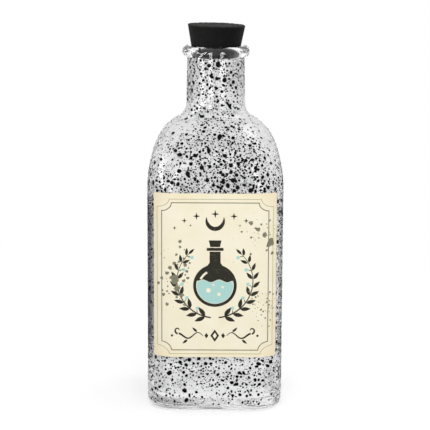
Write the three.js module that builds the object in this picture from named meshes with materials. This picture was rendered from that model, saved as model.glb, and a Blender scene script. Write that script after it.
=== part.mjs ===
// Potion bottle: a square clear-glass bottle with a bead lip, a tapered stopper and a paper label.
// Millimetres. It stands on z = 0 with +Z up, centred on the Z axis, and the label faces -Y.
import * as THREE from "three";

// Glass body
const bodyWidth = 85; // across the flats, the same both ways
const cornerRadius = 18; // upright corners, seen from above
const wallTop = 139.4; // the straight walls end here
const heelRadius = 5.2; // edge between the walls and the base
const wall = 3;
const baseThickness = 6;
const innerHeelRadius = 9;
const pushUpRadius = 26; // round hollow under the base
const pushUpHeight = 3.5;
const floorCrown = 2.5; // rise of the inner floor over the hollow

// Shoulder and neck
const shoulderRise = 44.8; // half-height of the shoulder's curve
const shoulderInset = 5.9; // that curve's centre lies this far inside the neck's surface
const shoulderPower = 2.13; // 2 is a true ellipse, more is squarer
const shoulderShare = 0.78; // part of the quarter curve used below the neck's hollow
const neckHollowRise = 7.5; // from the top of the shoulder's curve to the neck
const neckHeight = 27.2;
const neckWall = 3.35;
const neckFlare = 0.5; // the neck is this much wider at its foot

// Lip and mouth
const lipBead = 7.2; // thickness of the round lip
const lipOverhang = 3.2; // the lip stands out this far past the neck
const mouthRadius = 15.95; // conical mouth, measured at the top of the lip
const mouthEdge = 1.4; // rounded inner edge of the lip

// Stopper
const stopperTaper = 0.19; // radius gained for each millimetre of height
const stopperExposed = 13; // stands out of the lip
const stopperDepth = 7.2; // reaches into the mouth
const stopperEdge = 0.5; // rounded top edge
const stopperChamfer = 0.8; // bottom edge
const stopperClearance = 0.3; // all round, between the stopper and the mouth
const stopperTilt = 1.4; // degrees, pushed in by hand and a little lower on the right

// Label
const labelHeight = 103.7;
const labelTopGap = 0.3; // its top edge lies this far below the end of the straight walls
const labelLength = 79; // measured along the paper
const labelThickness = 0.2;
const labelClearance = 0.3; // between the paper and the glass
const labelCorner = 1.5;

// Fineness: facets round the axis and along each curve
const sides = 72;
const heelSteps = 5;
const domeSteps = 4;
const domeShare = 0.88; // the rest of the quarter curve is a small flat middle
const shoulderSteps = 12;
const hollowSteps = 5;
const beadSteps = 10;
const edgeSteps = 4;
const labelBends = 6; // strips of paper on each rounded corner

const right = Math.PI / 2;
const half = bodyWidth / 2;
const flat = half - cornerRadius;
const boreRadius = mouthRadius - stopperTaper * stopperDepth;
const neckTopRadius = boreRadius + neckWall;
const neckFootRadius = neckTopRadius + neckFlare;
const neckFoot = wallTop + shoulderRise + neckHollowRise;
const lipTop = neckFoot + neckHeight + lipBead;
const labelBottom = wallTop - labelTopGap - labelHeight;
const beadRadius = lipBead / 2;
const beadCentre = neckTopRadius + lipOverhang - beadRadius;

// A level of the glass: half the width, half the length of its straight sides, and the height.
function level(width, straight, z) {
  return { width, straight, z };
}

// The point of a level at an angle round the axis: straight sides joined by round corners.
function onLevel({ width, straight, z }, angle) {
  const c = Math.cos(angle);
  const s = Math.sin(angle);
  const big = Math.max(Math.abs(c), Math.abs(s));
  const small = Math.min(Math.abs(c), Math.abs(s));
  let reach = width / big;
  if (reach * small > straight) {
    const along = straight * (big + small);
    const corner = width - straight;
    reach = along + Math.sqrt(along * along - 2 * straight * straight + corner * corner);
  }
  return new THREE.Vector3(reach * c, reach * s, z);
}

// A closed skin over a row of loops with the same number of points, with a fan over each end.
function loft(loops) {
  const count = loops[0].length;
  const last = (loops.length - 1) * count;
  const middle = (loop) => loop.reduce((sum, p) => sum.add(p), new THREE.Vector3()).divideScalar(count);
  const points = [...loops.flat(), middle(loops[0]), middle(loops[loops.length - 1])];
  const start = points.length - 2;
  const end = points.length - 1;
  const index = [];
  for (let j = 0; j < count; j++) {
    const k = (j + 1) % count;
    index.push(start, k, j);
    for (let base = 0; base < last; base += count) {
      index.push(base + j, base + k, base + count + k);
      index.push(base + j, base + count + k, base + count + j);
    }
    index.push(end, last + j, last + k);
  }
  const geometry = new THREE.BufferGeometry().setFromPoints(points);
  geometry.setIndex(index);
  geometry.computeVertexNormals();
  return geometry;
}

// Equal steps of a quarter turn, or of a part of it.
function steps(count, from, to) {
  return Array.from({ length: count + 1 }, (_, i) => from + ((to - from) * i) / count);
}

function named(name, geometry, color, roughness, extra) {
  const material = new THREE.MeshStandardMaterial({ color, roughness, ...extra });
  const mesh = new THREE.Mesh(geometry, material);
  mesh.name = name;
  return mesh;
}

// Outside of the shoulder and of the hollow curve that leads it into the neck, from the walls upwards.
function shoulderCurve() {
  const centre = neckFootRadius - shoulderInset;
  const points = steps(shoulderSteps, 0, shoulderShare * right).map((t) => {
    const r = centre + (half - centre) * Math.cos(t) ** (2 / shoulderPower);
    const z = wallTop + shoulderRise * Math.sin(t) ** (2 / shoulderPower);
    return new THREE.Vector2(r, z);
  });
  const a = points[points.length - 1];
  const slope = a.clone().sub(points[points.length - 2]);
  const turn = a.clone().addScaledVector(slope, (neckFootRadius - a.x) / slope.x);
  const hollow = new THREE.QuadraticBezierCurve(a, turn, new THREE.Vector2(neckFootRadius, neckFoot));
  return [...points, ...hollow.getPoints(hollowSteps).slice(1)];
}

// The sides grow shorter up the shoulder until the section is round.
function straightAt(r, z) {
  const rise = THREE.MathUtils.smoothstep(z, wallTop, neckFoot);
  return (1 - rise) * Math.max(r - cornerRadius, 0);
}

function mouthAt(z) {
  return mouthRadius + stopperTaper * (z - lipTop);
}

function bottleGeometry() {
  const shoulder = shoulderCurve();
  const rows = [];
  for (const t of steps(domeSteps, domeShare, 0)) {
    rows.push(level(pushUpRadius * Math.cos(t * right), 0, pushUpHeight * Math.sin(t * right)));
  }
  for (const t of steps(heelSteps, 0, right)) {
    rows.push(level(half - heelRadius * (1 - Math.sin(t)), flat, heelRadius * (1 - Math.cos(t))));
  }
  for (const p of shoulder) rows.push(level(p.x, straightAt(p.x, p.y), p.y));

  // Lip: a round bead, then its inner edge, then the conical mouth
  const lean = Math.acos((neckTopRadius - beadCentre) / beadRadius);
  for (const t of steps(beadSteps, -lean, right)) {
    rows.push(level(beadCentre + beadRadius * Math.cos(t), 0, lipTop - beadRadius * (1 - Math.sin(t))));
  }
  const inner = mouthAt(lipTop - mouthEdge);
  for (const t of steps(edgeSteps, 0, right).slice(1)) {
    const r = beadCentre - (beadCentre - inner) * Math.sin(t);
    rows.push(level(r, 0, lipTop - mouthEdge * (1 - Math.cos(t))));
  }
  rows.push(level(boreRadius, 0, lipTop - stopperDepth));

  // Inside: the shoulder's curve set in by the thickness of the glass, from the neck downwards
  const footWall = neckFootRadius - boreRadius;
  for (let i = shoulder.length - 1; i >= 0; i--) {
    const p = shoulder[i];
    const below = shoulder[Math.max(i - 1, 0)];
    const above = shoulder[Math.min(i + 1, shoulder.length - 1)];
    const run = above.clone().sub(below).normalize();
    if (i === 0 || i === shoulder.length - 1) run.set(0, 1);
    const depth = THREE.MathUtils.lerp(wall, footWall, i / (shoulder.length - 1));
    rows.push(level(p.x - run.y * depth, straightAt(p.x, p.y), p.y + run.x * depth));
  }
  for (const t of steps(heelSteps, right, 0)) {
    const width = half - wall - innerHeelRadius * (1 - Math.sin(t));
    rows.push(level(width, flat, baseThickness + innerHeelRadius * (1 - Math.cos(t))));
  }
  for (const t of steps(domeSteps, 0, domeShare)) {
    const z = baseThickness + floorCrown * Math.sin(t * right);
    rows.push(level(pushUpRadius * Math.cos(t * right), 0, z));
  }
  const angles = steps(sides, 0, 2 * Math.PI).slice(0, -1);
  return loft(rows.map((row) => angles.map((angle) => onLevel(row, angle))));
}

// Its height is measured from the top of the lip.
function stopperGeometry() {
  const radiusAt = (z) => mouthAt(lipTop + z) - stopperClearance;
  const rimRadius = radiusAt(stopperExposed - stopperEdge);
  const profile = [new THREE.Vector2(0, -stopperDepth)];
  profile.push(new THREE.Vector2(radiusAt(-stopperDepth) - stopperChamfer, -stopperDepth));
  profile.push(new THREE.Vector2(radiusAt(stopperChamfer - stopperDepth), stopperChamfer - stopperDepth));
  for (const t of steps(edgeSteps, 0, right)) {
    const r = rimRadius - stopperEdge * (1 - Math.cos(t));
    profile.push(new THREE.Vector2(r, stopperExposed - stopperEdge * (1 - Math.sin(t))));
  }
  profile.push(new THREE.Vector2(0, stopperExposed));
  return new THREE.LatheGeometry(profile, sides).rotateX(right);
}

// A place on the front of the bottle: s is the distance along the paper from the middle.
function onFront(s, out, z) {
  const bend = cornerRadius + labelClearance;
  const over = Math.max(Math.abs(s) - flat, 0) / bend;
  const x = Math.min(Math.abs(s), flat) + (bend + out) * Math.sin(over);
  return new THREE.Vector3(Math.sign(s) * x, -flat - (bend + out) * Math.cos(over), z);
}

function labelGeometry() {
  const end = labelLength / 2;
  const round = steps(edgeSteps, 0, right).map((t) => labelCorner * (1 - Math.cos(t)));
  const inward = [...round.map((d) => end - d), ...steps(labelBends, end - labelCorner, flat).slice(1)];
  const places = [...inward.map((s) => -s), ...inward.reverse()];
  const columns = places.map((s) => {
    const near = Math.max(labelCorner - (end - Math.abs(s)), 0);
    const cut = labelCorner - Math.sqrt(labelCorner * labelCorner - near * near);
    const low = labelBottom + cut;
    const high = labelBottom + labelHeight - cut;
    const t = labelThickness;
    return [onFront(s, 0, low), onFront(s, 0, high), onFront(s, t, high), onFront(s, t, low)];
  });
  return loft(columns);
}

const group = new THREE.Group();
group.name = "potion_bottle";
const clear = { transparent: true, opacity: 0.35 };
group.add(named("glass_bottle", bottleGeometry(), 0xdfe4e2, 0.05, clear));
const stopper = named("stopper", stopperGeometry(), 0x1d1d1d, 0.8);
stopper.position.z = lipTop;
stopper.rotation.y = THREE.MathUtils.degToRad(stopperTilt);
group.add(stopper);
group.add(named("front_label", labelGeometry(), 0xefe6cb, 0.9));
export default group;
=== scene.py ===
import bisect
import itertools
import random
from math import acos, asin, atan2, copysign, cos, dist, exp, floor, hypot, pi, radians, sin

import bmesh
import bpy
from mathutils import Matrix, Vector, noise


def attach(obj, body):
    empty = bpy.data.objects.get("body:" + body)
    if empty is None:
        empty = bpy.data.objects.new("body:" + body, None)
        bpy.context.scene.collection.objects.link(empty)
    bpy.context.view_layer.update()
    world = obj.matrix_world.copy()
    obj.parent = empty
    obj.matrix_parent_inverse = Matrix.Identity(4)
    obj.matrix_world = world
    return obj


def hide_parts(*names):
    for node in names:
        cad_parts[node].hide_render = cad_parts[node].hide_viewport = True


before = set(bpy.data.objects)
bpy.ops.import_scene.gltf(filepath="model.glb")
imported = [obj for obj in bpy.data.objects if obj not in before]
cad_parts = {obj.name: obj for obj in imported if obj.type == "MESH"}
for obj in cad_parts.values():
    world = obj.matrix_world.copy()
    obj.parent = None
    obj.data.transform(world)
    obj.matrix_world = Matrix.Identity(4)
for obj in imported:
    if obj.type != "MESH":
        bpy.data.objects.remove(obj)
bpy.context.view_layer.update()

scene = bpy.context.scene

# The object's sizes are millimetres until a piece is finished, and the stage is in metres
metres = 0.001
rightAngle = pi / 2
fullTurn = 2 * pi
mergeDistance = 0.0005
cutTolerance = 0.0001
nearAxis = 0.01
sharpEdge = 50  # degrees, from which an edge is drawn sharp


def addObject(name, data):
    made = bpy.data.objects.new(name, data)
    scene.collection.objects.link(made)
    return made


def addMesh(name, bm, materials):
    mesh = bpy.data.meshes.new(name)
    bm.to_mesh(mesh)
    bm.free()
    for material in materials:
        mesh.materials.append(material)
    return addObject(name, mesh)


def makePiece(name, bm, materials, body, standsFor=None):
    bmesh.ops.scale(bm, vec=(metres,) * 3, verts=bm.verts)
    piece = addMesh(name, bm, materials)
    piece.data.shade_smooth()
    piece.data.set_sharp_from_angle(angle=radians(sharpEdge))
    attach(piece, body)
    if standsFor:
        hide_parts(standsFor)
    print("made", name, "with", len(piece.data.polygons), "faces")


def newMaterial(name):
    material = bpy.data.materials.new(name)
    material.use_nodes = True
    tree = material.node_tree
    return material, tree, tree.nodes["Principled BSDF"]


# Sockets are linked, and other values are set
def setInputs(node, inputs):
    for key, value in inputs.items():
        if isinstance(value, bpy.types.NodeSocket):
            node.id_data.links.new(value, node.inputs[key])
        else:
            node.inputs[key].default_value = value


def addNode(tree, kind, inputs=None, **settings):
    made = tree.nodes.new(kind)
    for key, value in settings.items():
        setattr(made, key, value)
    setInputs(made, inputs or {})
    return made


def inMillimetres(tree):
    place = addNode(tree, "ShaderNodeTexCoord").outputs["Object"]
    inputs = {"Vector": place, "Scale": (1 / metres,) * 3}
    return addNode(tree, "ShaderNodeMapping", inputs).outputs["Vector"]


def axesOf(tree, place):
    return addNode(tree, "ShaderNodeSeparateXYZ", {"Vector": place}).outputs


# The dictionaries give a noise by its size in millimetres, detail and roughness
def noiseOn(tree, place, size, detail=3.0, roughness=0.55):
    inputs = {"Vector": place, "Scale": 1 / size, "Detail": detail, "Roughness": roughness}
    return addNode(tree, "ShaderNodeTexNoise", inputs).outputs["Fac"]


# Spreads a range of a value over another range. The dictionaries give one range after the other.
def remap(tree, value, low, high, toLow=0.0, toHigh=1.0):
    inputs = {"Value": value, "From Min": low, "From Max": high, "To Min": toLow, "To Max": toHigh}
    return addNode(tree, "ShaderNodeMapRange", inputs).outputs["Result"]


def calculate(tree, operation, first, second):
    return addNode(tree, "ShaderNodeMath", {0: first, 1: second}, operation=operation).outputs["Value"]


def mixColours(tree, amount, first, second):
    inputs = {0: amount, 6: first, 7: second}
    return addNode(tree, "ShaderNodeMix", inputs, data_type="RGBA").outputs[2]


def bumpOf(tree, height, strength, distance):
    inputs = {"Height": height, "Strength": strength, "Distance": distance * metres}
    return addNode(tree, "ShaderNodeBump", inputs).outputs["Normal"]


def steps(count, first, last):
    return [first + (last - first) * i / count for i in range(count + 1)]


def ease(value, low, high):
    return min(max((value - low) / (high - low), 0), 1)


# Joins a row of vertices and turns it round the Z axis
def spinRound(bm, chain, sides):
    edges = [bm.edges.new(pair) for pair in zip(chain, chain[1:])]
    bmesh.ops.spin(bm, geom=chain + edges, cent=(0, 0, 0), axis=(0, 0, 1), angle=fullTurn,
                   steps=sides, use_merge=True)
    bmesh.ops.remove_doubles(bm, verts=bm.verts, dist=mergeDistance)


def cutAcross(bm, place, normal):
    geom = bm.verts[:] + bm.edges[:] + bm.faces[:]
    bmesh.ops.bisect_plane(bm, geom=geom, dist=cutTolerance, plane_co=place, plane_no=normal)


def onlyVerts(geom):
    return [part for part in geom if isinstance(part, bmesh.types.BMVert)]


# Glass bottle

bottle = {
    "halfWidth": 42.5, "cornerRadius": 18, "wallTop": 139.4, "heel": 5.2, "wall": 3,
    "floor": 6, "innerHeel": 9, "hollowRadius": 26, "hollowRise": 3.5, "floorCrown": 2.5,
    "shoulderRise": 44.8, "shoulderCentre": 12.53, "shoulderPower": 2.13, "shoulderShare": 0.78,
    "neckFoot": 191.7, "neckFootRadius": 18.43, "neckTopRadius": 17.93, "bore": 14.58,
    "lipTop": 226.1, "bead": 3.6, "beadCentre": 17.53,
    "mouthRadius": 15.95, "mouthTaper": 0.19, "mouthEdge": 1.4, "mouthDepth": 7.2,
    "paintRoom": 0.17,  # the glass lies this far inside, so that paint stays in the bottle's box
    "unevenness": 0.22, "waveScale": 0.045, "evenBore": 4,  # the inside waves, but not near the mouth
    # facets round the axis and along each stretch
    "sides": 192, "curveSteps": 14, "heelSteps": 10, "wallSteps": 24, "shoulderSteps": 40,
    "neckSteps": 8, "beadSteps": 20, "edgeSteps": 8, "boreSteps": 10,
    "refraction": 1.5, "clear": (0.985, 0.99, 0.99, 1), "ripples": (14, 2), "rippleBump": (0.1, 0.5),
    # paint mist on the outside: rough patches, and specks that grow and vanish in patches
    "haze": (1, 1, 1, 1), "mist": (1.5, 4, 0.6), "mistRoughness": (0.3, 0.6, 0.15, 0.25), "mistFoot": 4.5,
    "speckGap": 1.1, "speckPatches": (9, 3), "speckSize": (0.35, 0.65, -0.1, 0.06), "speckEdge": 0.1,
    "clearing": (35, 42, 0.7, 0.92),  # distance from the middle, and how clear the misted glass is there
}
glassHalf = bottle["halfWidth"] - bottle["paintRoom"]
flatHalf = bottle["halfWidth"] - bottle["cornerRadius"]
lipFoot = bottle["lipTop"] - 2 * bottle["bead"]


# A level of the glass has half its width, half the length of its straight sides and its height
def straightAt(width, z):
    rise = ease(z, bottle["wallTop"], bottle["neckFoot"])
    return (1 - rise * rise * (3 - 2 * rise)) * max(width - bottle["cornerRadius"], 0)


def shoulderCurve():
    b = bottle
    power = 2 / b["shoulderPower"]
    points = []
    for t in steps(b["shoulderSteps"], 0, b["shoulderShare"] * rightAngle):
        width = b["shoulderCentre"] + (glassHalf - b["shoulderCentre"]) * cos(t) ** power
        points.append(Vector((width, b["wallTop"] + b["shoulderRise"] * sin(t) ** power)))
    start, slope = points[-1], points[-1] - points[-2]
    turn = start + slope * ((b["neckFootRadius"] - start.x) / slope.x)
    end = Vector((b["neckFootRadius"], b["neckFoot"]))
    for t in steps(b["curveSteps"], 0, 1)[1:]:
        points.append(start.lerp(turn, t).lerp(turn.lerp(end, t), t))
    return points


def heelLevels(half, radius, low, turns):
    return [(half - radius * (1 - sin(t)), flatHalf, low + radius * (1 - cos(t))) for t in turns]


def outerLevels():
    b = bottle
    rows = heelLevels(glassHalf, b["heel"], 0, steps(b["heelSteps"], 0, rightAngle))
    rows += [(glassHalf, flatHalf, z) for z in steps(b["wallSteps"], b["heel"], b["wallTop"])[1:-1]]
    rows += [(p.x, straightAt(p.x, p.y), p.y) for p in shoulderCurve()]
    lean = acos((b["neckTopRadius"] - b["beadCentre"]) / b["bead"])
    beadFoot = b["lipTop"] - b["bead"] * (1 + sin(lean))
    for t in steps(b["neckSteps"], 0, 1)[1:-1]:
        width = b["neckFootRadius"] + (b["neckTopRadius"] - b["neckFootRadius"]) * t
        rows.append((width, 0, b["neckFoot"] + (beadFoot - b["neckFoot"]) * t))
    for t in steps(b["beadSteps"], -lean, rightAngle):
        rows.append((b["beadCentre"] + b["bead"] * cos(t), 0, b["lipTop"] - b["bead"] * (1 - sin(t))))
    return rows


def innerLevels():
    b = bottle
    inner = b["mouthRadius"] - b["mouthTaper"] * b["mouthEdge"]
    rows = []
    for t in steps(b["edgeSteps"], 0, rightAngle)[1:]:
        width = b["beadCentre"] - (b["beadCentre"] - inner) * sin(t)
        rows.append((width, 0, b["lipTop"] - b["mouthEdge"] * (1 - cos(t))))
    boreTop = b["lipTop"] - b["mouthDepth"]
    rows += [(b["bore"], 0, z) for z in steps(b["boreSteps"], boreTop, b["neckFoot"])[:-1]]
    shoulder = shoulderCurve()
    last = len(shoulder) - 1
    for i in range(last, -1, -1):
        p = shoulder[i]
        run = shoulder[min(i + 1, last)] - shoulder[max(i - 1, 0)]
        run = Vector((0, 1)) if i in (0, last) else run.normalized()
        depth = b["wall"] + (b["neckFootRadius"] - b["bore"] - b["wall"]) * i / last
        rows.append((p.x - run.y * depth, straightAt(p.x, p.y), p.y + run.x * depth))
    half = glassHalf - b["wall"]
    heelTop = b["floor"] + b["innerHeel"]
    rows += [(half, flatHalf, z) for z in steps(b["wallSteps"], b["wallTop"], heelTop)[1:-1]]
    rows += heelLevels(half, b["innerHeel"], b["floor"], steps(b["curveSteps"], rightAngle, 0))
    for t in steps(b["curveSteps"], 0, rightAngle):
        rows.append((b["hollowRadius"] * cos(t), 0, b["floor"] + b["floorCrown"] * sin(t)))
    return rows


# A point of a level by its share of the way round: straight sides joined by round corners
def onLevel(width, straight, turn):
    corner = width - straight
    quarter = 2 * straight + corner * rightAngle
    side, share = divmod(turn * 4 % 4, 1)
    along = share * quarter
    if along < straight:
        x, y, angle = width, along, 0
    elif along < straight + corner * rightAngle:
        angle = (along - straight) / corner
        x, y = straight + corner * cos(angle), straight + corner * sin(angle)
    else:
        x, y, angle = straight - (along - straight - corner * rightAngle), width, rightAngle
    quarterTurn = Matrix.Rotation(side * rightAngle, 2)
    return quarterTurn @ Vector((x, y)), angle + side * rightAngle


def aroundLevel(width, straight):
    return 8 * straight + fullTurn * (width - straight)


def glass(name):
    material, tree, shader = newMaterial(name)
    setInputs(shader, {"IOR": bottle["refraction"], "Transmission Weight": 1, "Roughness": 0})
    return material, tree, shader


def clearGlass():
    material, tree, shader = glass("clearGlass")
    ripples = noiseOn(tree, inMillimetres(tree), *bottle["ripples"])
    setInputs(shader, {"Base Color": bottle["clear"], "Normal": bumpOf(tree, ripples, *bottle["rippleBump"])})
    return material


# Outside of the glass, dulled by paint mist too fine to model
def mistedGlass():
    b = bottle
    material, tree, shader = glass("mistedGlass")
    place = inMillimetres(tree)
    cells = addNode(tree, "ShaderNodeTexVoronoi", {"Vector": place, "Scale": 1 / b["speckGap"]}).outputs
    size = remap(tree, noiseOn(tree, place, *b["speckPatches"]), *b["speckSize"])
    specks = remap(tree, calculate(tree, "SUBTRACT", cells["Distance"], size), 0, b["speckEdge"], 1, 0)
    across = calculate(tree, "ABSOLUTE", axesOf(tree, place)["X"], 0)
    setInputs(shader, {
        "Base Color": mixColours(tree, specks, b["haze"], splash["grey"]),
        "Roughness": remap(tree, noiseOn(tree, place, *b["mist"]), *b["mistRoughness"]),
        "Transmission Weight": remap(tree, across, *b["clearing"]),
    })
    return material


def makeBottle():
    b = bottle
    bm = bmesh.new()
    straightLayer = bm.verts.layers.float.new("straight")
    insideLayer = bm.verts.layers.float.new("inside")
    dome = steps(b["curveSteps"], 0, rightAngle)
    under = [(b["hollowRadius"] * sin(t), 0, b["hollowRise"] * cos(t)) for t in dome]
    rows = [(row, 0) for row in under + outerLevels()] + [(row, 1) for row in innerLevels()]
    chain = []
    for (width, straight, z), inside in rows:
        vert = bm.verts.new((width, 0, z))
        vert[straightLayer] = straight
        vert[insideLayer] = inside
        chain.append(vert)
    spinRound(bm, chain, b["sides"])

    # The spun skin is round, so each point moves out to the section of its level
    waveTop = b["lipTop"] - b["mouthDepth"] - b["evenBore"]
    for vert in bm.verts:
        width = hypot(vert.co.x, vert.co.y)
        if width < nearAxis:
            continue
        turn = atan2(vert.co.y, vert.co.x) / fullTurn % 1
        (x, y), angle = onLevel(width, vert[straightLayer], turn)
        if vert[insideLayer] and vert.co.z < waveTop:
            sway = b["unevenness"] * noise.noise(vert.co * b["waveScale"])
            x, y = x + sway * cos(angle), y + sway * sin(angle)
        vert.co.x, vert.co.y = x, y
    bmesh.ops.recalc_face_normals(bm, faces=bm.faces)
    for face in bm.faces:
        inside = all(vert[insideLayer] for vert in face.verts)
        height = face.calc_center_median().z
        face.material_index = int(inside or not b["mistFoot"] < height < lipFoot)
    makePiece("glassBottle", bm, [mistedGlass(), clearGlass()], "bottle", "glass_bottle")


# Paint splashed over the glass

splash = {
    "drops": 13000, "dropRadius": 0.46, "dropSpread": 0.51, "largest": 1.9, "stretch": 0.25,
    "height": 0.1, "leastHeight": 0.4, "top": 0.62,  # a drop's sides lean in, to this share of its foot
    "ragged": 0.26, "raggedScale": 1.1, "noiseRoom": 50,
    "sizes": (0.45, 1), "sides": (8, 12, 18),  # a drop has more sides past these radii
    "gap": 0.08, "loose": 0.2, "tries": 3,  # the loose share of the drops may fall on others
    # rows of drops thrown from the same brush stroke
    "flicks": 200, "flickDrops": (2, 3), "flickSize": 0.8, "flickHeight": 0.8,
    "flickStretch": (1, 1.4), "flickStep": (1.2, 2.6),
    # fine specks, of which a share is kept below the label
    "mist": 11000, "mistRadius": 0.26, "mistSpread": 0.38, "mistHeight": 0.05, "mistSides": 5,
    "mistStretch": (1, 1.3), "mistEverywhere": 0.15, "mistLow": 0.4,
    # paint on each stretch of the bottle, against the front of its shoulder
    "lowest": 4, "topMargin": 0.001, "patch": 14, "patchiness": 0.6, "collar": 20, "thickening": (100, 140),
    "neckShare": 0.72, "collarShare": 0.55, "lipShare": 0.12, "wallShare": 0.52, "footShare": 0.45,
    "sideShare": 0.55, "shoulderSideShare": 0.045, "backShare": 0.24,
    "frontFocus": 2, "shoulderFocus": 1.5, "wallBlend": 20, "neckBlend": 6,
    "batch": 30, "dropPieces": "ABCD", "mistPieces": "AB", "seed": 7,
    "black": (0.001, 0.001, 0.001, 1), "grey": (0.004, 0.004, 0.0045, 1), "shine": 0.06,
    "mottle": (3,), "mottleColour": (0.35, 0.7), "mottleRoughness": (0.3, 0.7, 0.4, 0.6),
}


def paintShare(z):
    b, s = bottle, splash
    if z > lipFoot:
        return s["lipShare"]
    if z > b["neckFoot"]:
        return s["neckShare"]
    if z > b["neckFoot"] - s["collar"]:
        return s["collarShare"]
    if z < b["floor"] + b["innerHeel"]:
        return s["wallShare"] * s["footShare"]
    return s["wallShare"] + (1 - s["wallShare"]) * ease(z, *s["thickening"])


# Rows of the outer surface with the way up to each and the paint taken up to there
def paintRows():
    rows = [row for row in outerLevels() if row[2] > splash["lowest"]]
    climbs, amounts = [0], [0]
    for low, high in zip(rows, rows[1:]):
        climb = dist((low[0], low[2]), (high[0], high[2]))
        climbs.append(climbs[-1] + climb)
        amounts.append(amounts[-1] + aroundLevel(low[0], low[1]) * climb * paintShare(low[2]))
    return rows, climbs, amounts


# A place on the glass, with its Z pointing out of it, by the way up and the share of the way round
def onGlass(paint, climb, turn):
    rows, climbs, _ = paint
    climb = min(max(climb, 0), climbs[-1] - splash["topMargin"])
    i = bisect.bisect_right(climbs, climb) - 1
    low, high = rows[i], rows[i + 1]
    t = (climb - climbs[i]) / (climbs[i + 1] - climbs[i])
    width, straight, z = (a + (c - a) * t for a, c in zip(low, high))
    (x, y), angle = onLevel(width, straight, turn % 1)
    outward, upward = high[0] - low[0], high[2] - low[2]
    normal = Vector((cos(angle) * upward, sin(angle) * upward, -outward)).normalized()
    across = Vector((-sin(angle), cos(angle), 0))
    place = Matrix((across, normal.cross(across), normal)).transposed().to_4x4()
    place.translation = (x, y, z)
    return place, aroundLevel(width, straight)


# Most paint is thrown at the front, and little of it reaches the sides of the shoulder
def shareAround(turn, z):
    b, s = bottle, splash
    away = sin(fullTurn * turn)
    if z > lipFoot:
        return 1 - abs(away)  # the lip has paint at its sides
    high = ease(z, b["wallTop"] - s["wallBlend"], b["wallTop"] + s["wallBlend"])
    high -= ease(z, b["neckFoot"] - s["neckBlend"], b["neckFoot"] + s["neckBlend"])
    side = s["sideShare"] + (s["shoulderSideShare"] - s["sideShare"]) * high
    end = s["backShare"] if away > 0 else 1
    return side + (end - side) * abs(away) ** (s["frontFocus"] + s["shoulderFocus"] * high)


def pickPlace(rng, paint, atLeast):
    _, climbs, amounts = paint
    while True:
        mark = rng.random() * amounts[-1]
        i = min(bisect.bisect_right(amounts, mark), len(amounts) - 1)
        t = (mark - amounts[i - 1]) / (amounts[i] - amounts[i - 1])
        climb, turn = climbs[i - 1] + t * (climbs[i] - climbs[i - 1]), rng.random()
        spot = onGlass(paint, climb, turn)[0].translation
        patch = 1 + splash["patchiness"] * noise.noise(spot / splash["patch"])
        if rng.random() * (1 + splash["patchiness"]) < max(shareAround(turn, spot.z), atLeast) * patch:
            return climb, turn


# Keeps a drop's place if no other drop lies on it. The places are kept in cells, to find neighbours fast.
def takePlace(taken, spot, radius):
    reach = 2 * splash["largest"]
    home = [floor(v / reach) for v in spot]
    for cell in itertools.product(*((n - 1, n, n + 1) for n in home)):
        for other, size in taken.get(cell, ()):
            if (spot - other).length < radius + size + splash["gap"]:
                return False
    taken.setdefault(tuple(home), []).append((spot, radius))
    return True


def addDrop(bm, place, radius, stretch, spin, height, segments, rng):
    shape = Matrix.Rotation(spin, 4, "Z") @ Matrix.Diagonal((radius * stretch, radius / stretch, height, 1))
    made = bmesh.ops.create_cone(bm, cap_ends=True, segments=segments, radius1=1, radius2=splash["top"],
                                 depth=2)["verts"]
    shift = Vector((rng.random(), rng.random(), rng.random())) * splash["noiseRoom"]
    for vert in made:
        swell = noise.noise(Vector((vert.co.x, vert.co.y, 0)) * splash["raggedScale"] + shift)
        vert.co.xy = vert.co.xy * (1 + splash["ragged"] * swell)
    bmesh.ops.transform(bm, matrix=place @ shape, verts=made)


# Many small shapes are made in batches, because an operator takes longer in a large mesh
def pourBatch(bm, batch):
    mesh = bpy.data.meshes.new("batch")
    batch.to_mesh(mesh)
    batch.free()
    bm.from_mesh(mesh)
    bpy.data.meshes.remove(mesh)


def blackPaint():
    s = splash
    material, tree, shader = newMaterial("blackPaint")
    mottle = noiseOn(tree, inMillimetres(tree), *s["mottle"])
    setInputs(shader, {
        "Base Color": mixColours(tree, remap(tree, mottle, *s["mottleColour"]), s["black"], s["grey"]),
        "Roughness": remap(tree, mottle, *s["mottleRoughness"]),
        "Specular IOR Level": s["shine"],
    })
    return material


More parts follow.
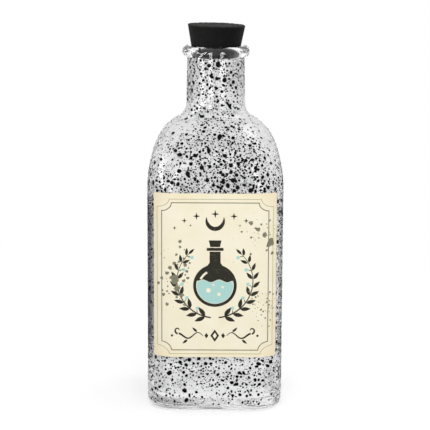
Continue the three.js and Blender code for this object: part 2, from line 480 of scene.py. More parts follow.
def makePaint():
    s = splash
    rng = random.Random(s["seed"])
    paint = paintRows()
    material = blackPaint()
    taken = {}

    def dropRadius():
        return min(s["dropRadius"] * exp(rng.gauss(0, s["dropSpread"])), s["largest"])

    def sidesOf(radius):
        return s["sides"][bisect.bisect_right(s["sizes"], radius)]

    # Looks for a bare place a few times, then leaves the drop out
    def findPlace(radius, atLeast):
        for _ in range(s["tries"]):
            place, _ = onGlass(paint, *pickPlace(rng, paint, atLeast))
            if takePlace(taken, place.translation.copy(), radius) or rng.random() < s["loose"]:
                return place

    def addSingle(batch):
        radius = radii.pop()
        place = findPlace(radius, 0)
        if place:
            height = s["height"] * min(radius + s["leastHeight"], 1)
            stretch = 1 + s["stretch"] * rng.random() ** 2
            addDrop(batch, place, radius, stretch, rng.uniform(0, pi), height, sidesOf(radius), rng)

    def addFlick(batch):
        climb, turn = pickPlace(rng, paint, 0)
        heading = rng.uniform(0, pi)
        height = s["height"] * s["flickHeight"]
        for _ in range(rng.randint(*s["flickDrops"])):
            place, around = onGlass(paint, climb, turn)
            radius = dropRadius() * s["flickSize"]
            takePlace(taken, place.translation.copy(), radius)
            stretch = rng.uniform(*s["flickStretch"])
            addDrop(batch, place, radius, stretch, heading, height, sidesOf(radius), rng)
            reach = radius * rng.uniform(*s["flickStep"])
            climb += sin(heading) * reach
            turn += cos(heading) * reach / around

    def addSpeck(batch):
        radius = s["mistRadius"] * exp(rng.gauss(0, s["mistSpread"]))
        place = findPlace(radius, s["mistEverywhere"])
        if place and (place.translation.z > label["bottom"] or rng.random() < s["mistLow"]):
            stretch, spin = rng.uniform(*s["mistStretch"]), rng.uniform(0, pi)
            addDrop(batch, place, radius, stretch, spin, s["mistHeight"], s["mistSides"], rng)

    def splashOn(name, add, count):
        bm = bmesh.new()
        for done in range(0, count, s["batch"]):
            batch = bmesh.new()
            for _ in range(min(s["batch"], count - done)):
                add(batch)
            pourBatch(bm, batch)
        makePiece(name, bm, [material], "bottle")

    splashOn("paintFlicks", addFlick, s["flicks"])
    radii = sorted(dropRadius() for _ in range(s["drops"]))  # taken from the largest on
    for part in s["dropPieces"]:
        splashOn("paintDrops" + part, addSingle, s["drops"] // len(s["dropPieces"]))
    for part in s["mistPieces"]:
        splashOn("paintMist" + part, addSpeck, s["mist"] // len(s["mistPieces"]))


# Stopper

stopper = {
    "exposed": 13, "depth": 7.2, "clearance": 0.3, "edge": 0.5, "chamfer": 0.8, "tilt": 1.4,
    "sides": 240, "rowHeight": 0.45, "edgeSteps": 5, "footCoarseness": 3,
    # pits, grain and the rough top, pressed into the surface
    "pitDepth": 0.3, "pitScale": 0.5, "pitFrom": 0.42, "pitSlope": 2,
    "grain": 0.03, "grainScale": 1.9, "grainLift": 0.5,
    "topGrain": 0.3, "topScale": 0.55, "topLift": 0.2,
    # the rim colour is partly wear and partly a painted highlight on the top face and the top edge
    "black": (0.0024, 0.0024, 0.0024, 1), "worn": (0.024, 0.0235, 0.023, 1), "rim": (0.06, 0.058, 0.056, 1),
    "rimWidth": 1.1, "topWearAndSheen": 0.5, "shine": 0.12,
    "fineGrain": (1.1, 6, 0.7), "patches": (6, 3), "wornGrain": (0.5, 0.75), "wornPatches": (0.4, 0.7),
    "wearAndSheenGrain": (0.42, 0.6), "roughness": (0.3, 0.7, 0.62, 0.85), "bump": (0.35, 0.25),
}


def stainedBlack():
    s = stopper
    material, tree, shader = newMaterial("stainedBlack")
    place = inMillimetres(tree)
    grain = noiseOn(tree, place, *s["fineGrain"])
    patches = remap(tree, noiseOn(tree, place, *s["patches"]), *s["wornPatches"])
    worn = calculate(tree, "MULTIPLY", remap(tree, grain, *s["wornGrain"]), patches)
    colour = mixColours(tree, worn, s["black"], s["worn"])
    # The top edge and top face take the rim colour: rubbed wear, and a painted highlight where light falls on
    # them
    rim = addNode(tree, "ShaderNodeAttribute", attribute_name="rim").outputs["Fac"]
    rubbedAndLit = calculate(tree, "MULTIPLY", rim, remap(tree, grain, *s["wearAndSheenGrain"]))
    setInputs(shader, {
        "Base Color": mixColours(tree, rubbedAndLit, colour, s["rim"]),
        "Roughness": remap(tree, grain, *s["roughness"]),
        "Specular IOR Level": s["shine"],
        "Normal": bumpOf(tree, grain, *s["bump"]),
    })
    return material


def makeStopper():
    s = stopper
    bm = bmesh.new()

    # Heights are measured from the top of the lip until the stopper is seated
    def radiusAt(z):
        return bottle["mouthRadius"] + bottle["mouthTaper"] * z - s["clearance"]

    def rowsOn(length):
        return max(round(length / s["rowHeight"]), 1)

    foot, top = radiusAt(-s["depth"]) - s["chamfer"], radiusAt(s["exposed"] - s["edge"])
    profile = [(r, -s["depth"]) for r in steps(rowsOn(foot) // s["footCoarseness"], 0, foot)]
    side = steps(rowsOn(s["depth"] + s["exposed"]), s["chamfer"] - s["depth"], s["exposed"] - s["edge"])
    profile += [(radiusAt(z), z) for z in side]
    for t in steps(s["edgeSteps"], 0, rightAngle)[1:]:
        profile.append((top - s["edge"] * (1 - cos(t)), s["exposed"] - s["edge"] * (1 - sin(t))))
    profile += [(r, s["exposed"]) for r in steps(rowsOn(top), top - s["edge"], 0)[1:]]
    spinRound(bm, [bm.verts.new((r, 0, z)) for r, z in profile], s["sides"])
    bmesh.ops.recalc_face_normals(bm, faces=bm.faces)
    bm.normal_update()

    # The rim share marks the top edge and, at half strength, the whole top face, where a painted highlight is
    # laid with the wear
    rimLayer = bm.verts.layers.float.new("rim")
    inward = {}
    for vert in bm.verts:
        edge = hypot(hypot(vert.co.x, vert.co.y) - top, vert.co.z - s["exposed"])
        onTop = vert.co.z > s["exposed"] - s["edge"] / 2
        vert[rimLayer] = max(1 - edge / s["rimWidth"], s["topWearAndSheen"] * onTop)
        pit = max(noise.noise(vert.co * s["pitScale"]) - s["pitFrom"], 0) * s["pitSlope"]
        grain = s["grainLift"] + noise.noise(vert.co * s["grainScale"])
        depth = s["pitDepth"] * min(pit, 1) + s["grain"] * grain
        if onTop:
            depth += s["topGrain"] * max(s["topLift"] + noise.noise(vert.co * s["topScale"]), 0)
        inward[vert] = vert.normal * depth
    for vert, push in inward.items():
        vert.co -= push
    seat = Matrix.Translation((0, 0, bottle["lipTop"])) @ Matrix.Rotation(radians(s["tilt"]), 4, "Y")
    bmesh.ops.transform(bm, matrix=seat, verts=bm.verts)
    makePiece("blackStopper", bm, [stainedBlack()], "stopper", "stopper")


# Paper label

label = {
    "length": 79, "height": 103.7, "bottom": 35.4, "thickness": 0.15, "lift": 0.05,
    "corner": 1.5, "cornerSteps": 6, "rows": 10, "bendStep": 0.75,
    "cream": (0.88, 0.81, 0.61, 1), "pale": (0.91, 0.85, 0.68, 1),
    "clouds": (16, 4, 0.6), "paling": (0.35, 0.65),
    # yellowed ragged edges, peach corners and dark fibres
    "yellowed": (0.87, 0.76, 0.46, 1), "raggedness": (0.3, 0.7, -2, 3), "edgeStain": (6, 0, 0, 0.42),
    "peach": (0.9, 0.7, 0.46, 1), "cornerStain": (22, 4, 0, 0.22),
    "fibres": (0.7, 5, 0.65), "fibreStain": (0.55, 0.8, 0, 0.25), "fibreBump": (0.25, 0.05),
    "roughness": (0.3, 0.7, 0.75, 0.92), "shine": 0.3,
}


# Bends a flat shape round the front of the bottle: x runs along the paper, y up and z out of it
def wrapOnFront(bm, out):
    bend = bottle["cornerRadius"] + label["lift"]
    reach = label["length"] / 2
    for s in steps(round((reach - flatHalf) / label["bendStep"]), flatHalf, reach)[:-1]:
        for side in (-s, s):
            cutAcross(bm, (side, 0, 0), (1, 0, 0))
    middle = label["bottom"] + label["height"] / 2
    for vert in bm.verts:
        s, up, proud = vert.co
        over = max(abs(s) - flatHalf, 0) / bend
        radius = bend + out + proud
        x = min(abs(s), flatHalf) + radius * sin(over)
        vert.co = (copysign(x, s), -flatHalf - radius * cos(over), middle + up)


def thicken(bm, thickness):
    made = bmesh.ops.extrude_face_region(bm, geom=bm.faces[:])["geom"]
    bmesh.ops.translate(bm, vec=(0, 0, thickness), verts=onlyVerts(made))
    bmesh.ops.recalc_face_normals(bm, faces=bm.faces)


def agedPaper():
    p = label
    material, tree, shader = newMaterial("agedPaper")
    flatPlace = addNode(tree, "ShaderNodeUVMap", uv_map="paper").outputs["UV"]
    size = (p["length"], p["height"], 1)
    place = addNode(tree, "ShaderNodeMapping", {"Vector": flatPlace, "Scale": size}).outputs["Vector"]
    fibres = noiseOn(tree, place, *p["fibres"])
    clouds = noiseOn(tree, place, *p["clouds"])
    split = axesOf(tree, place)

    def nearerEdge(along, length):
        return calculate(tree, "MINIMUM", along, calculate(tree, "SUBTRACT", length, along))

    fromSide = nearerEdge(split["X"], p["length"])
    fromEnd = nearerEdge(split["Y"], p["height"])
    fromEdge = calculate(tree, "MINIMUM", fromSide, fromEnd)
    ragged = calculate(tree, "ADD", fromEdge, remap(tree, clouds, *p["raggedness"]))
    corner = calculate(tree, "ADD", fromSide, fromEnd)
    colour = mixColours(tree, remap(tree, clouds, *p["paling"]), p["cream"], p["pale"])
    colour = mixColours(tree, remap(tree, ragged, *p["edgeStain"]), colour, p["yellowed"])
    colour = mixColours(tree, remap(tree, corner, *p["cornerStain"]), colour, p["peach"])
    setInputs(shader, {
        "Base Color": mixColours(tree, remap(tree, fibres, *p["fibreStain"]), colour, p["yellowed"]),
        "Roughness": remap(tree, fibres, *p["roughness"]),
        "Specular IOR Level": p["shine"],
        "Normal": bumpOf(tree, fibres, *p["fibreBump"]),
    })
    return material


def makeLabel():
    p = label
    bm = bmesh.new()
    bmesh.ops.create_grid(bm, x_segments=1, y_segments=1, size=0.5)
    bmesh.ops.scale(bm, vec=(p["length"], p["height"], 1), verts=bm.verts)
    bmesh.ops.bevel(bm, geom=bm.verts[:], offset=p["corner"], segments=p["cornerSteps"], profile=0.5,
                    affect="VERTICES", material=-1)
    for up in steps(p["rows"], -p["height"] / 2, p["height"] / 2)[1:-1]:
        cutAcross(bm, (0, up, 0), (0, 1, 0))
    thicken(bm, p["thickness"])
    uvLayer = bm.loops.layers.uv.new("paper")
    for face in bm.faces:
        for loop in face.loops:
            x, y, _ = loop.vert.co
            loop[uvLayer].uv = (x / p["length"] + 0.5, y / p["height"] + 0.5)
    wrapOnFront(bm, 0)
    makePiece("paperLabel", bm, [agedPaper()], "bottle", "front_label")


# Print on the label: flat outlines in millimetres from the middle of the paper

prints = {
    "thickness": 0.03, "sunk": 0.01, "scoopSteps": 8,
    "leafSteps": 9, "leafBelly": 0.8,  # under 1, a leaf is widest near its stalk
    "wear": (1.4, 5, 0.7), "wearFrom": (0.55, 0.85), "roughness": (0.7, 0.9), "shine": 0.2,
}
# The colour of each ink and the share of it that is lost where it is most worn
inks = {
    "darkInk": ((0.02, 0.0185, 0.01, 1), 0.12),
    "tealInk": ((0.4, 0.66, 0.62, 1), 0.5),
    "paleFrameInk": ((0.47, 0.45, 0.27, 1), 0.45),
    "darkFrameInk": ((0.11, 0.103, 0.06, 1), 0.45),
    "spatterInk": ((0.2, 0.195, 0.135, 1), 0.5),
}


def arc(x, y, radius, count, first, last):
    return [(x + radius * cos(t), y + radius * sin(t)) for t in steps(count, first, last)]


def circle(x, y, radius, count):
    return arc(x, y, radius, count, 0, fullTurn)[:-1]


# A line of changing width along a row of points
def stroke(points, firstWidth, lastWidth):
    left, right = [], []
    last = len(points) - 1
    for i, (x, y) in enumerate(points):
        ahead, behind = points[min(i + 1, last)], points[max(i - 1, 0)]
        dx, dy = ahead[0] - behind[0], ahead[1] - behind[1]
        half = (firstWidth + (lastWidth - firstWidth) * i / last) / 2 / hypot(dx, dy)
        left.append((x - dy * half, y + dx * half))
        right.append((x + dy * half, y - dx * half))
    return left + right[::-1]


def leaf(x, y, heading, length, width):
    c, s = cos(heading), sin(heading)
    belly = prints["leafBelly"]
    edge = [(t * length, width / 2 * sin(pi * t ** belly)) for t in steps(prints["leafSteps"], 0, 1)]
    outline = edge + [(a, -b) for a, b in edge[-2:0:-1]]
    return [(x + a * c - b * s, y + a * s + b * c) for a, b in outline]


def star(x, y, reach, waist, rays=4):
    outline = []
    for i in range(2 * rays):
        r, t = (waist if i % 2 else reach), rightAngle + pi * i / rays
        outline.append((x + r * cos(t), y + r * sin(t)))
    return outline


def mirrored(outline):
    return [(-x, y) for x, y in outline[::-1]]


def onBothSides(shapes):
    return shapes + [[mirrored(outline) for outline in shape] for shape in shapes]


def scoopedFrame(halfWidth, top, bottom, scoopWide, scoopHigh, inset):
    wide, tall = scoopWide + inset, scoopHigh + inset
    first, last = asin(inset / tall), acos(inset / wide)
    outline = []
    for sx, sy, high in ((1, 1, top), (1, -1, bottom), (-1, -1, bottom), (-1, 1, top)):
        corner = []
        for t in steps(prints["scoopSteps"], first, last):
            corner.append((sx * (halfWidth - wide * cos(t)), high - sy * tall * sin(t)))
        outline += corner if sx * sy > 0 else corner[::-1]
    return outline


def inkMaterial(name):
    colour, thin = inks[name]
    material, tree, shader = newMaterial(name)
    wear = noiseOn(tree, inMillimetres(tree), *prints["wear"])
    worn = remap(tree, wear, *prints["wearFrom"], 0, thin)
    setInputs(shader, {
        "Base Color": mixColours(tree, worn, colour, label["cream"]),
        "Roughness": remap(tree, worn, 0, thin, *prints["roughness"]),
        "Specular IOR Level": prints["shine"],
    })
    return material


# Each shape is a list of outlines, the first round the ink and the rest round its gaps
def printShapes(name, shapes, material, layer=0):
    bm = bmesh.new()
    for outlines in shapes:
        part = bmesh.new()
        edges = []
        for outline in outlines:
            verts = [part.verts.new((x, y, 0)) for x, y in outline]
            edges += [part.edges.new(pair) for pair in zip(verts, verts[1:] + verts[:1])]
        bmesh.ops.triangle_fill(part, use_beauty=True, edges=edges)
        pourBatch(bm, part)
    thicken(bm, prints["thickness"] + prints["sunk"])
    wrapOnFront(bm, label["thickness"] - prints["sunk"] + layer * prints["thickness"])
    makePiece(name, bm, [material], "bottle")


frameLines = {
    "paleFrame": {"halfWidth": 36.8, "top": 48.5, "bottom": -49.9, "scoop": (8.3, 5.1), "line": 0.4},
    "darkFrame": {"halfWidth": 33.5, "top": 46.3, "bottom": -47.5, "scoop": (6.4, 5.2), "line": 0.5},
}


def makeFrameLines():
    for name, line in frameLines.items():
        size = (line["halfWidth"], line["top"], line["bottom"], *line["scoop"])
        shape = [scoopedFrame(*size, 0), scoopedFrame(*size, line["line"])]
        printShapes(name, [shape], inkMaterial(name + "Ink"))


emblem = {
    # round flask with a pool, a gleam, a rim and a plug
    "flask": (0, -6), "flaskRadius": 13.5, "flaskSteps": 56, "glassWidth": 1.9,
    "neckHalf": 3.4, "neckTop": 15.5, "neckFlare": 1, "flareTurn": 0.1,
    "poolLevel": 3, "poolSteps": 40, "waveHeight": 0.9, "waveScale": 0.62, "waveSteps": 16,
    "poolShare": 0.965, "poolDrop": 0.2,  # the pool's colour keeps clear of the glass round it
    "bubbles": ((-4, -3, 1.5), (2.5, -5.5, 1.1), (4.8, -1, 0.8), (-1, 0.4, 0.7)), "bubbleSteps": 18,
    "gleam": (9, 10.4), "gleamTurn": (2.1, 2.72), "gleamSteps": 10,
    "rim": [(-5, 16), (5, 16), (5.3, 16.9), (5, 17.9), (-5, 17.9), (-5.3, 16.9)],
    "plug": [(-3, 18.4), (3, 18.4), (3.9, 22.6), (-3.9, 22.6)],
    # wreath of two stems, with leaves that grow smaller and a berry at every other one
    "wreath": (0, -3), "wreathRadius": 23.5, "wreathTurn": (-84, 46), "stemSteps": 30,
    "stemWidth": (0.9, 0.35), "leaves": 10, "firstLeaf": 0.7, "leafLength": 7, "leafWidth": 2.7,
    "leafTaper": 0.35, "leafRoot": 0.45, "leafLean": 0.66, "tipLength": 0.7, "tipWidth": 0.6,
    "berry": 1.1, "berryTurn": 0.07, "berryInset": 1.9, "berrySteps": 20,
    "stalkInset": (0.3, 1.8), "stalkTurn": 0.05, "stalkWidth": (0.45, 0.35),
    # moon lying on its back, with stars by their distance across, height and reach
    "moon": (0, 34.5), "moonRadius": 6, "hornTurn": 28, "moonSag": 6.2, "sagPower": 0.62,
    "moonSteps": 30, "sagSteps": 22, "topStar": (4.6, 2.6, 0.75), "starWaist": 0.3,
    "stars": ((11.5, 3.2, 2.3), (19, 0.4, 1.7), (25, -4.2, 1.3), (15.2, -2.6, 0.9)),
    # ornament of diamonds, and on each side a wave that ends in a curl
    "ornament": -38, "diamond": (0, 2.7, 4), "diamondGap": (0, 1.3, 2), "sideDiamond": (5.2, 1.2, 1.8),
    "sweepStart": 7.4, "sweepLength": 15, "sweepHeight": 2.1, "sweepTurns": 2.4, "sweepFade": 0.3,
    "sweepSteps": 28, "sweepWidth": (0.4, 1.25),
    "curl": 2.4, "curlFade": 0.42, "curlShift": (0.4, 2.1), "curlTurn": (0.12, 4.6), "curlSteps": 24,
    "curlWidth": (1.2, 0.5),
    "sprigs": ((11, 2.4, 0.75, 4.2, 1.5), (17, -2.6, -0.7, 4.0, 1.5)),  # place, heading and size of a leaf
    "dot": 26.6, "dotRadius": 0.75, "dotSteps": 16,
}


def flaskShapes():
    e = emblem
    x, y = e["flask"]
    radius, neck, top = e["flaskRadius"], e["neckHalf"], e["neckTop"]
    shoulder = acos(neck / radius) - e["flareTurn"]
    flare = y + radius + e["neckFlare"]
    body = arc(x, y, radius, e["flaskSteps"], shoulder, -pi - shoulder)
    outline = [(neck, top), (neck, flare)] + body + [(-neck, flare), (-neck, top)]
    inner = radius - e["glassWidth"]
    level = asin(e["poolLevel"] / inner)
    pool = arc(x, y, inner, e["poolSteps"], level, -pi - level)
    edge = inner * cos(level)
    for t in steps(e["waveSteps"], -edge, edge)[1:-1]:
        pool.append((t, y + e["poolLevel"] + e["waveHeight"] * sin(t * e["waveScale"])))
    near, far = e["gleam"]
    first, last = e["gleamTurn"]
    gleam = arc(x, y, far, e["gleamSteps"], first, last) + arc(x, y, near, e["gleamSteps"], last, first)
    return [[outline, pool, gleam], [e["rim"]], [e["plug"]]], pool


def wreathShapes():
    e = emblem
    x, y = e["wreath"]
    first, last = (radians(turn) for turn in e["wreathTurn"])

    def onStem(t, out=0):
        reach = e["wreathRadius"] + out
        return x + reach * cos(t), y + reach * sin(t)

    stems = [[stroke([onStem(t) for t in steps(e["stemSteps"], first, last)], *e["stemWidth"])]]
    berries = []
    for i in range(e["leaves"]):
        t = first + (last - first) * (i + e["firstLeaf"]) / e["leaves"]
        size = 1 - e["leafTaper"] * i / e["leaves"]
        for out in (-1, 1):
            if i % 2 and out < 0:
                low, high = e["stalkInset"]
                stalk = [onStem(t, -low), onStem(t + e["stalkTurn"], -high)]
                stems.append([stroke(stalk, *e["stalkWidth"])])
                middle = onStem(t + e["berryTurn"], -e["berryInset"] - e["berry"])
                berries.append([circle(*middle, e["berry"], e["berrySteps"])])
                continue
            root = onStem(t, out * e["leafRoot"])
            heading = t + rightAngle - out * e["leafLean"]
            stems.append([leaf(*root, heading, e["leafLength"] * size, e["leafWidth"] * size)])
    tipSize = (e["leafLength"] * e["tipLength"], e["leafWidth"] * e["tipWidth"])
    stems.append([leaf(*onStem(last), last + rightAngle, *tipSize)])
    return onBothSides(stems), onBothSides(berries)


def skyShapes():
    e = emblem
    x, y = e["moon"]
    radius = e["moonRadius"]
    horn = radians(e["hornTurn"])
    halfSpan, hornTop = radius * cos(horn), y + radius * sin(horn)
    moon = arc(x, y, radius, e["moonSteps"], horn, -pi - horn)
    for t in steps(e["sagSteps"], -halfSpan, halfSpan)[1:-1]:
        moon.append((t, hornTop - e["moonSag"] * (1 - (t / radius / cos(horn)) ** 2) ** e["sagPower"]))
    up, reach, waist = e["topStar"]
    shapes = [[moon], [star(x, y + up, reach, waist)]]
    for across, up, reach in e["stars"]:
        for side in (across, -across):
            shapes.append([star(side, y + up, reach, reach * e["starWaist"])])
    return shapes


def ornamentShapes():
    e = emblem
    y = e["ornament"]

    def diamond(x, wide, tall):
        return [(x + wide, y), (x, y + tall), (x - wide, y), (x, y - tall)]

    sweep = []
    for t in steps(e["sweepSteps"], 0, 1):
        rise = e["sweepHeight"] * sin(e["sweepTurns"] * pi * t) * (1 - e["sweepFade"] * t)
        sweep.append((e["sweepStart"] + e["sweepLength"] * t, y + rise))
    endX, endY = sweep[-1]
    shiftX, shiftY = e["curlShift"]
    curl = []
    for t in steps(e["curlSteps"], *e["curlTurn"]):
        reach = e["curl"] - e["curlFade"] * t
        curl.append((endX + shiftX + reach * sin(t), endY + shiftY - reach * cos(t)))
    half = [[diamond(*e["sideDiamond"])], [stroke(sweep, *e["sweepWidth"])], [stroke(curl, *e["curlWidth"])]]
    half += [[leaf(x, y + up, *size)] for x, up, *size in e["sprigs"]]
    half.append([circle(e["dot"], y, e["dotRadius"], e["dotSteps"])])
    return [[diamond(*e["diamond"]), diamond(*e["diamondGap"])]] + onBothSides(half)


def makeEmblem():
    e = emblem
    ink = inkMaterial("darkInk")
    flask, pool = flaskShapes()
    stems, berries = wreathShapes()
    printShapes("flaskPrint", flask, ink)
    printShapes("wreathPrint", stems, ink)
    printShapes("skyPrint", skyShapes(), ink)
    printShapes("ornamentPrint", ornamentShapes(), ink)
    x, y = e["flask"]
    share, drop = e["poolShare"], e["poolDrop"]
    filling = [[(x + (a - x) * share, y - drop + (b - y) * share) for a, b in pool]]
    filling += [circle(x + across, y + up, radius, e["bubbleSteps"]) for across, up, radius in e["bubbles"]]
    printShapes("tealPrint", [filling] + berries, inkMaterial("tealInk"))


spatter = {
    "seed": 21, "margin": 0.8, "gap": 0.1, "room": 1.2, "least": 0.12,
    "small": 0.5, "smallSteps": 10, "blotSteps": (20, 14),  # larger blots have steps by their radius
    "raggedBase": 0.82, "ragged": ((0.4, 1.1), (0.22, 3.3)), "noiseRoom": 40,
    # middle, spread, number of specks and largest radius of each burst
    "bursts": (((-25, -1), (5, 9), 110, 1.4), ((29, 28), (6, 6), 60, 1.1), ((32, -19), (5, 6), 130, 0.8),
               ((0, 0), (24, 34), 60, 0.3)),
    # place and radius
    "blots": ((-25, -1.5, 3.4), (-23.6, -8, 2.3), (-20.5, -12, 1.6), (-19.3, -3, 1.2), (34.4, 20.6, 3.3),
              (30.6, 26, 1.9), (26.6, 29.6, 1.4), (22, 33.6, 1.7), (36, 14, 1.3)),
}


def makeSpatter():
    s = spatter
    rng = random.Random(s["seed"])
    reachX, reachY = label["length"] / 2 - s["margin"], label["height"] / 2 - s["margin"]
    taken = []
    shapes = []

    def addBlot(x, y, radius):
        clear = all(dist((x, y), (a, b)) > radius + r + s["gap"] for a, b, r in taken)
        if not clear or abs(x) + radius > reachX or abs(y) + radius > reachY:
            return
        taken.append((x, y, radius * s["room"]))
        shift = Vector((rng.random(), rng.random(), 0)) * s["noiseRoom"]
        fewest, more = s["blotSteps"]
        count = s["smallSteps"] if radius < s["small"] else round(fewest + more * radius)
        outline = []
        for a, b in circle(0, 0, radius, count):
            around = Vector((a, b, 0)) / radius
            reach = s["raggedBase"]
            for amount, scale in s["ragged"]:
                reach += amount * noise.noise(around * scale + shift)
            outline.append((x + a * reach, y + b * reach))
        shapes.append([outline])

    for x, y, radius in s["blots"]:
        addBlot(x, y, radius)
    for (x, y), (wide, tall), count, largest in s["bursts"]:
        for _ in range(count):
            addBlot(rng.gauss(x, wide), rng.gauss(y, tall), largest * rng.uniform(s["least"], 1) ** 2)
    printShapes("spatterPrint", shapes, inkMaterial("spatterInk"), layer=1)


makeBottle()
makePaint()
makeStopper()
makeLabel()
makeFrameLines()
makeEmblem()
makeSpatter()


# Camera, lamps and floor

view = {"place": (-0.00016, -1.0, 0.3115), "pitch": 79.02, "roll": 0.25, "lens": 133.1, "sensor": 36}
# Light panels between two ends, with a width across
lamps = {
    "leftStrip": {"ends": ((-0.58, -0.62, 0), (-0.83, 0.16, 0.7)), "width": 0.13, "radiance": 11},
    "frontStrip": {"ends": ((-0.3, -0.79, 0), (-0.3, -0.79, 0.5)), "width": 0.22, "radiance": 8},
    "rightStrip": {"ends": ((0.36, -0.77, 0), (0.36, -0.77, 0.5)), "width": 0.18, "radiance": 9},
    "rightSoftbox": {"ends": ((1.13, 0.41, 1.3), (1.0, 0.3, 1.9)), "width": 0.9, "radiance": 3},
    "fill": {"ends": ((0.1, -1.8, 0.7), (0.1, -1.8, 2.1)), "width": 2, "radiance": 3.2},
}
stage = {
    "onlyMirrored": ("leftStrip", "frontStrip", "rightStrip"), "notMirrored": ("fill",),
    "aimHeight": 0.2,  # the lamps face the bottle, up to this height
    "floorDrop": 0.0002, "floorReach": 3, "floorSides": 64,
    "floorWhite": (0.5, 0.5, 0.5, 1), "floorGlow": 0.55, "skyLevel": 0.76,
    "shadeReach": (0.12, 0.5),  # the floor's own shading fades into white over this distance
    "dimming": (-0.3, -0.05, 0.55, 1),  # mirrored in glass, the studio is dim on the camera's side
    "under": (0.035, 0.06, 0.86, 1),  # and so is the floor under the bottle, a painted shadow of the bottle
    "bounces": 32,  # light turns many times inside the thick base
}
# Dark cards behind the bottle, seen only in glass, that paint dark shade along the edges of the glass and its
# heel: their ends on the floor, height and tone
cards = {
    "leftCard": {"ends": ((-0.046, 0.125, 0), (-0.15, 0.02, 0)), "height": 0.114, "tone": 0.01},
    "rightCard": {"ends": ((0.097, 0.082, 0), (0.123, 0.064, 0)), "height": 0.114, "tone": 0.2},
    "heelCard": {"ends": ((0.005, 0.06, 0), (-0.045, 0.06, 0)), "height": 0.006, "tone": 0.02},
}
# A dark sheet on the floor, laid round the front of the bottle, seen only in glass, that paints shade into
# the lip
frontSheet = {"near": 0.055, "far": 0.3, "turn": 65, "steps": 24, "lift": 0.001, "tone": 0.005}


def makeCamera():
    data = bpy.data.cameras.new("photoCamera")
    data.lens = view["lens"]
    data.sensor_width = view["sensor"]
    camera = addObject("photoCamera", data)
    turn = Matrix.Rotation(radians(view["pitch"]), 4, "X") @ Matrix.Rotation(radians(view["roll"]), 4, "Z")
    camera.matrix_world = Matrix.Translation(view["place"]) @ turn
    scene.camera = camera


def makeLamps():
    for name, lamp in lamps.items():
        low, high = (Vector(end) for end in lamp["ends"])
        data = bpy.data.lights.new(name, "AREA")
        data.shape = "RECTANGLE"
        data.size, data.size_y = lamp["width"], (high - low).length
        data.energy = lamp["radiance"] * pi * data.size * data.size_y
        along = (high - low).normalized()
        middle = (low + high) / 2
        back = middle - Vector((0, 0, min(middle.z, stage["aimHeight"])))
        back = (back - along * back.dot(along)).normalized()
        turn = Matrix((along.cross(back), along, back)).transposed().to_4x4()
        holder = addObject(name, data)
        holder.matrix_world = Matrix.Translation(middle) @ turn
        holder.visible_camera = False
        holder.visible_diffuse = name not in stage["onlyMirrored"]
        holder.visible_glossy = name not in stage["notMirrored"]


# 1 for rays that are mirrored or go through glass
def throughGlass(tree, path):
    return calculate(tree, "MAXIMUM", path["Is Glossy Ray"], path["Is Transmission Ray"])


# White behind the bottle and dim on the camera's side
def studioTone(tree, place):
    return remap(tree, axesOf(tree, place)["Y"], *stage["dimming"])


def glowing(tree, strength):
    return addNode(tree, "ShaderNodeEmission", {"Strength": strength}).outputs["Emission"]


def mixShaders(tree, amount, first, second):
    return addNode(tree, "ShaderNodeMixShader", {0: amount, 1: first, 2: second}).outputs["Shader"]


def makeStagePiece(name, bm, material):
    piece = addMesh(name, bm, [material])
    return piece


def makeFloor():
    bm = bmesh.new()
    bmesh.ops.create_circle(bm, cap_ends=True, segments=stage["floorSides"], radius=stage["floorReach"])
    bmesh.ops.translate(bm, vec=(0, 0, -stage["floorDrop"]), verts=bm.verts)
    material = bpy.data.materials.new("paleFloor")
    material.use_nodes = True
    tree = material.node_tree
    tree.nodes.clear()
    paint = addNode(tree, "ShaderNodeBsdfDiffuse", {"Color": stage["floorWhite"]}).outputs["BSDF"]
    glow = glowing(tree, stage["floorGlow"])
    lit = addNode(tree, "ShaderNodeAddShader", {0: paint, 1: glow}).outputs["Shader"]
    place = addNode(tree, "ShaderNodeTexCoord").outputs["Object"]
    away = addNode(tree, "ShaderNodeVectorMath", {0: place}, operation="LENGTH").outputs["Value"]
    shown = mixShaders(tree, remap(tree, away, *stage["shadeReach"]), lit, glowing(tree, 1))
    # Seen in glass, the floor is darker under the bottle: a painted shadow of the bottle
    tone = calculate(tree, "MULTIPLY", remap(tree, away, *stage["under"]), studioTone(tree, place))
    path = addNode(tree, "ShaderNodeLightPath").outputs
    mixed = mixShaders(tree, throughGlass(tree, path), paint, glowing(tree, tone))
    mixed = mixShaders(tree, path["Is Camera Ray"], mixed, shown)
    addNode(tree, "ShaderNodeOutputMaterial", {"Surface": mixed})
    makeStagePiece("floor", bm, material)
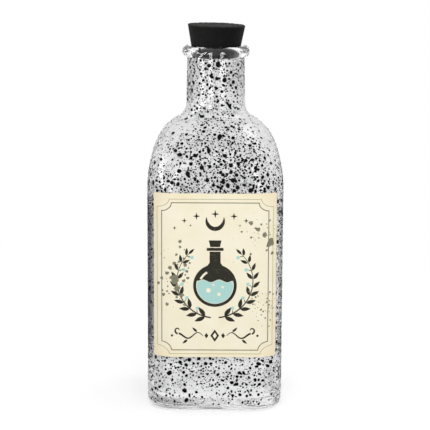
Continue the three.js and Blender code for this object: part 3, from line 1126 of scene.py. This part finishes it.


# Seen only in glass and in mirrors, as painted dark reflections
def makeDarkPiece(name, bm, tone):
    material, _, shader = newMaterial(name)
    setInputs(shader, {"Base Color": (tone, tone, tone, 1), "Specular IOR Level": 0})
    piece = makeStagePiece(name, bm, material)
    piece.visible_camera = piece.visible_diffuse = piece.visible_shadow = False


def makeCards():
    for name, card in cards.items():
        bm = bmesh.new()
        foot = [bm.verts.new(end) for end in card["ends"]]
        made = bmesh.ops.extrude_edge_only(bm, edges=[bm.edges.new(foot)])["geom"]
        bmesh.ops.translate(bm, vec=(0, 0, card["height"]), verts=onlyVerts(made))
        makeDarkPiece(name, bm, card["tone"])


def makeFrontSheet():
    sheet = frontSheet
    bm = bmesh.new()
    ends = [bm.verts.new((0, -distance, sheet["lift"])) for distance in (sheet["near"], sheet["far"])]
    turn = radians(sheet["turn"])
    bmesh.ops.rotate(bm, cent=(0, 0, 0), matrix=Matrix.Rotation(-turn, 3, "Z"), verts=ends)
    bmesh.ops.spin(bm, geom=ends + [bm.edges.new(ends)], cent=(0, 0, 0), axis=(0, 0, 1), angle=2 * turn,
                   steps=sheet["steps"])
    makeDarkPiece("frontSheet", bm, sheet["tone"])


def makeSky():
    world = bpy.data.worlds.new("studio")
    world.use_nodes = True
    scene.world = world
    tree = world.node_tree
    path = addNode(tree, "ShaderNodeLightPath").outputs
    place = addNode(tree, "ShaderNodeTexCoord").outputs["Generated"]
    tone = calculate(tree, "MULTIPLY", throughGlass(tree, path), studioTone(tree, place))
    tone = calculate(tree, "MAXIMUM", tone, path["Is Camera Ray"])
    sky = calculate(tree, "MULTIPLY", path["Is Diffuse Ray"], stage["skyLevel"])
    strength = calculate(tree, "MAXIMUM", tone, sky)
    setInputs(tree.nodes["Background"], {"Color": (1, 1, 1, 1), "Strength": strength})


makeCamera()
makeLamps()
makeFloor()
makeCards()
makeFrontSheet()
makeSky()
scene.view_settings.view_transform = "Standard"
scene.cycles.max_bounces = stage["bounces"]
scene.cycles.transmission_bounces = stage["bounces"]
scene.cycles.glossy_bounces = stage["bounces"]
print("camera, lamps and floor made")
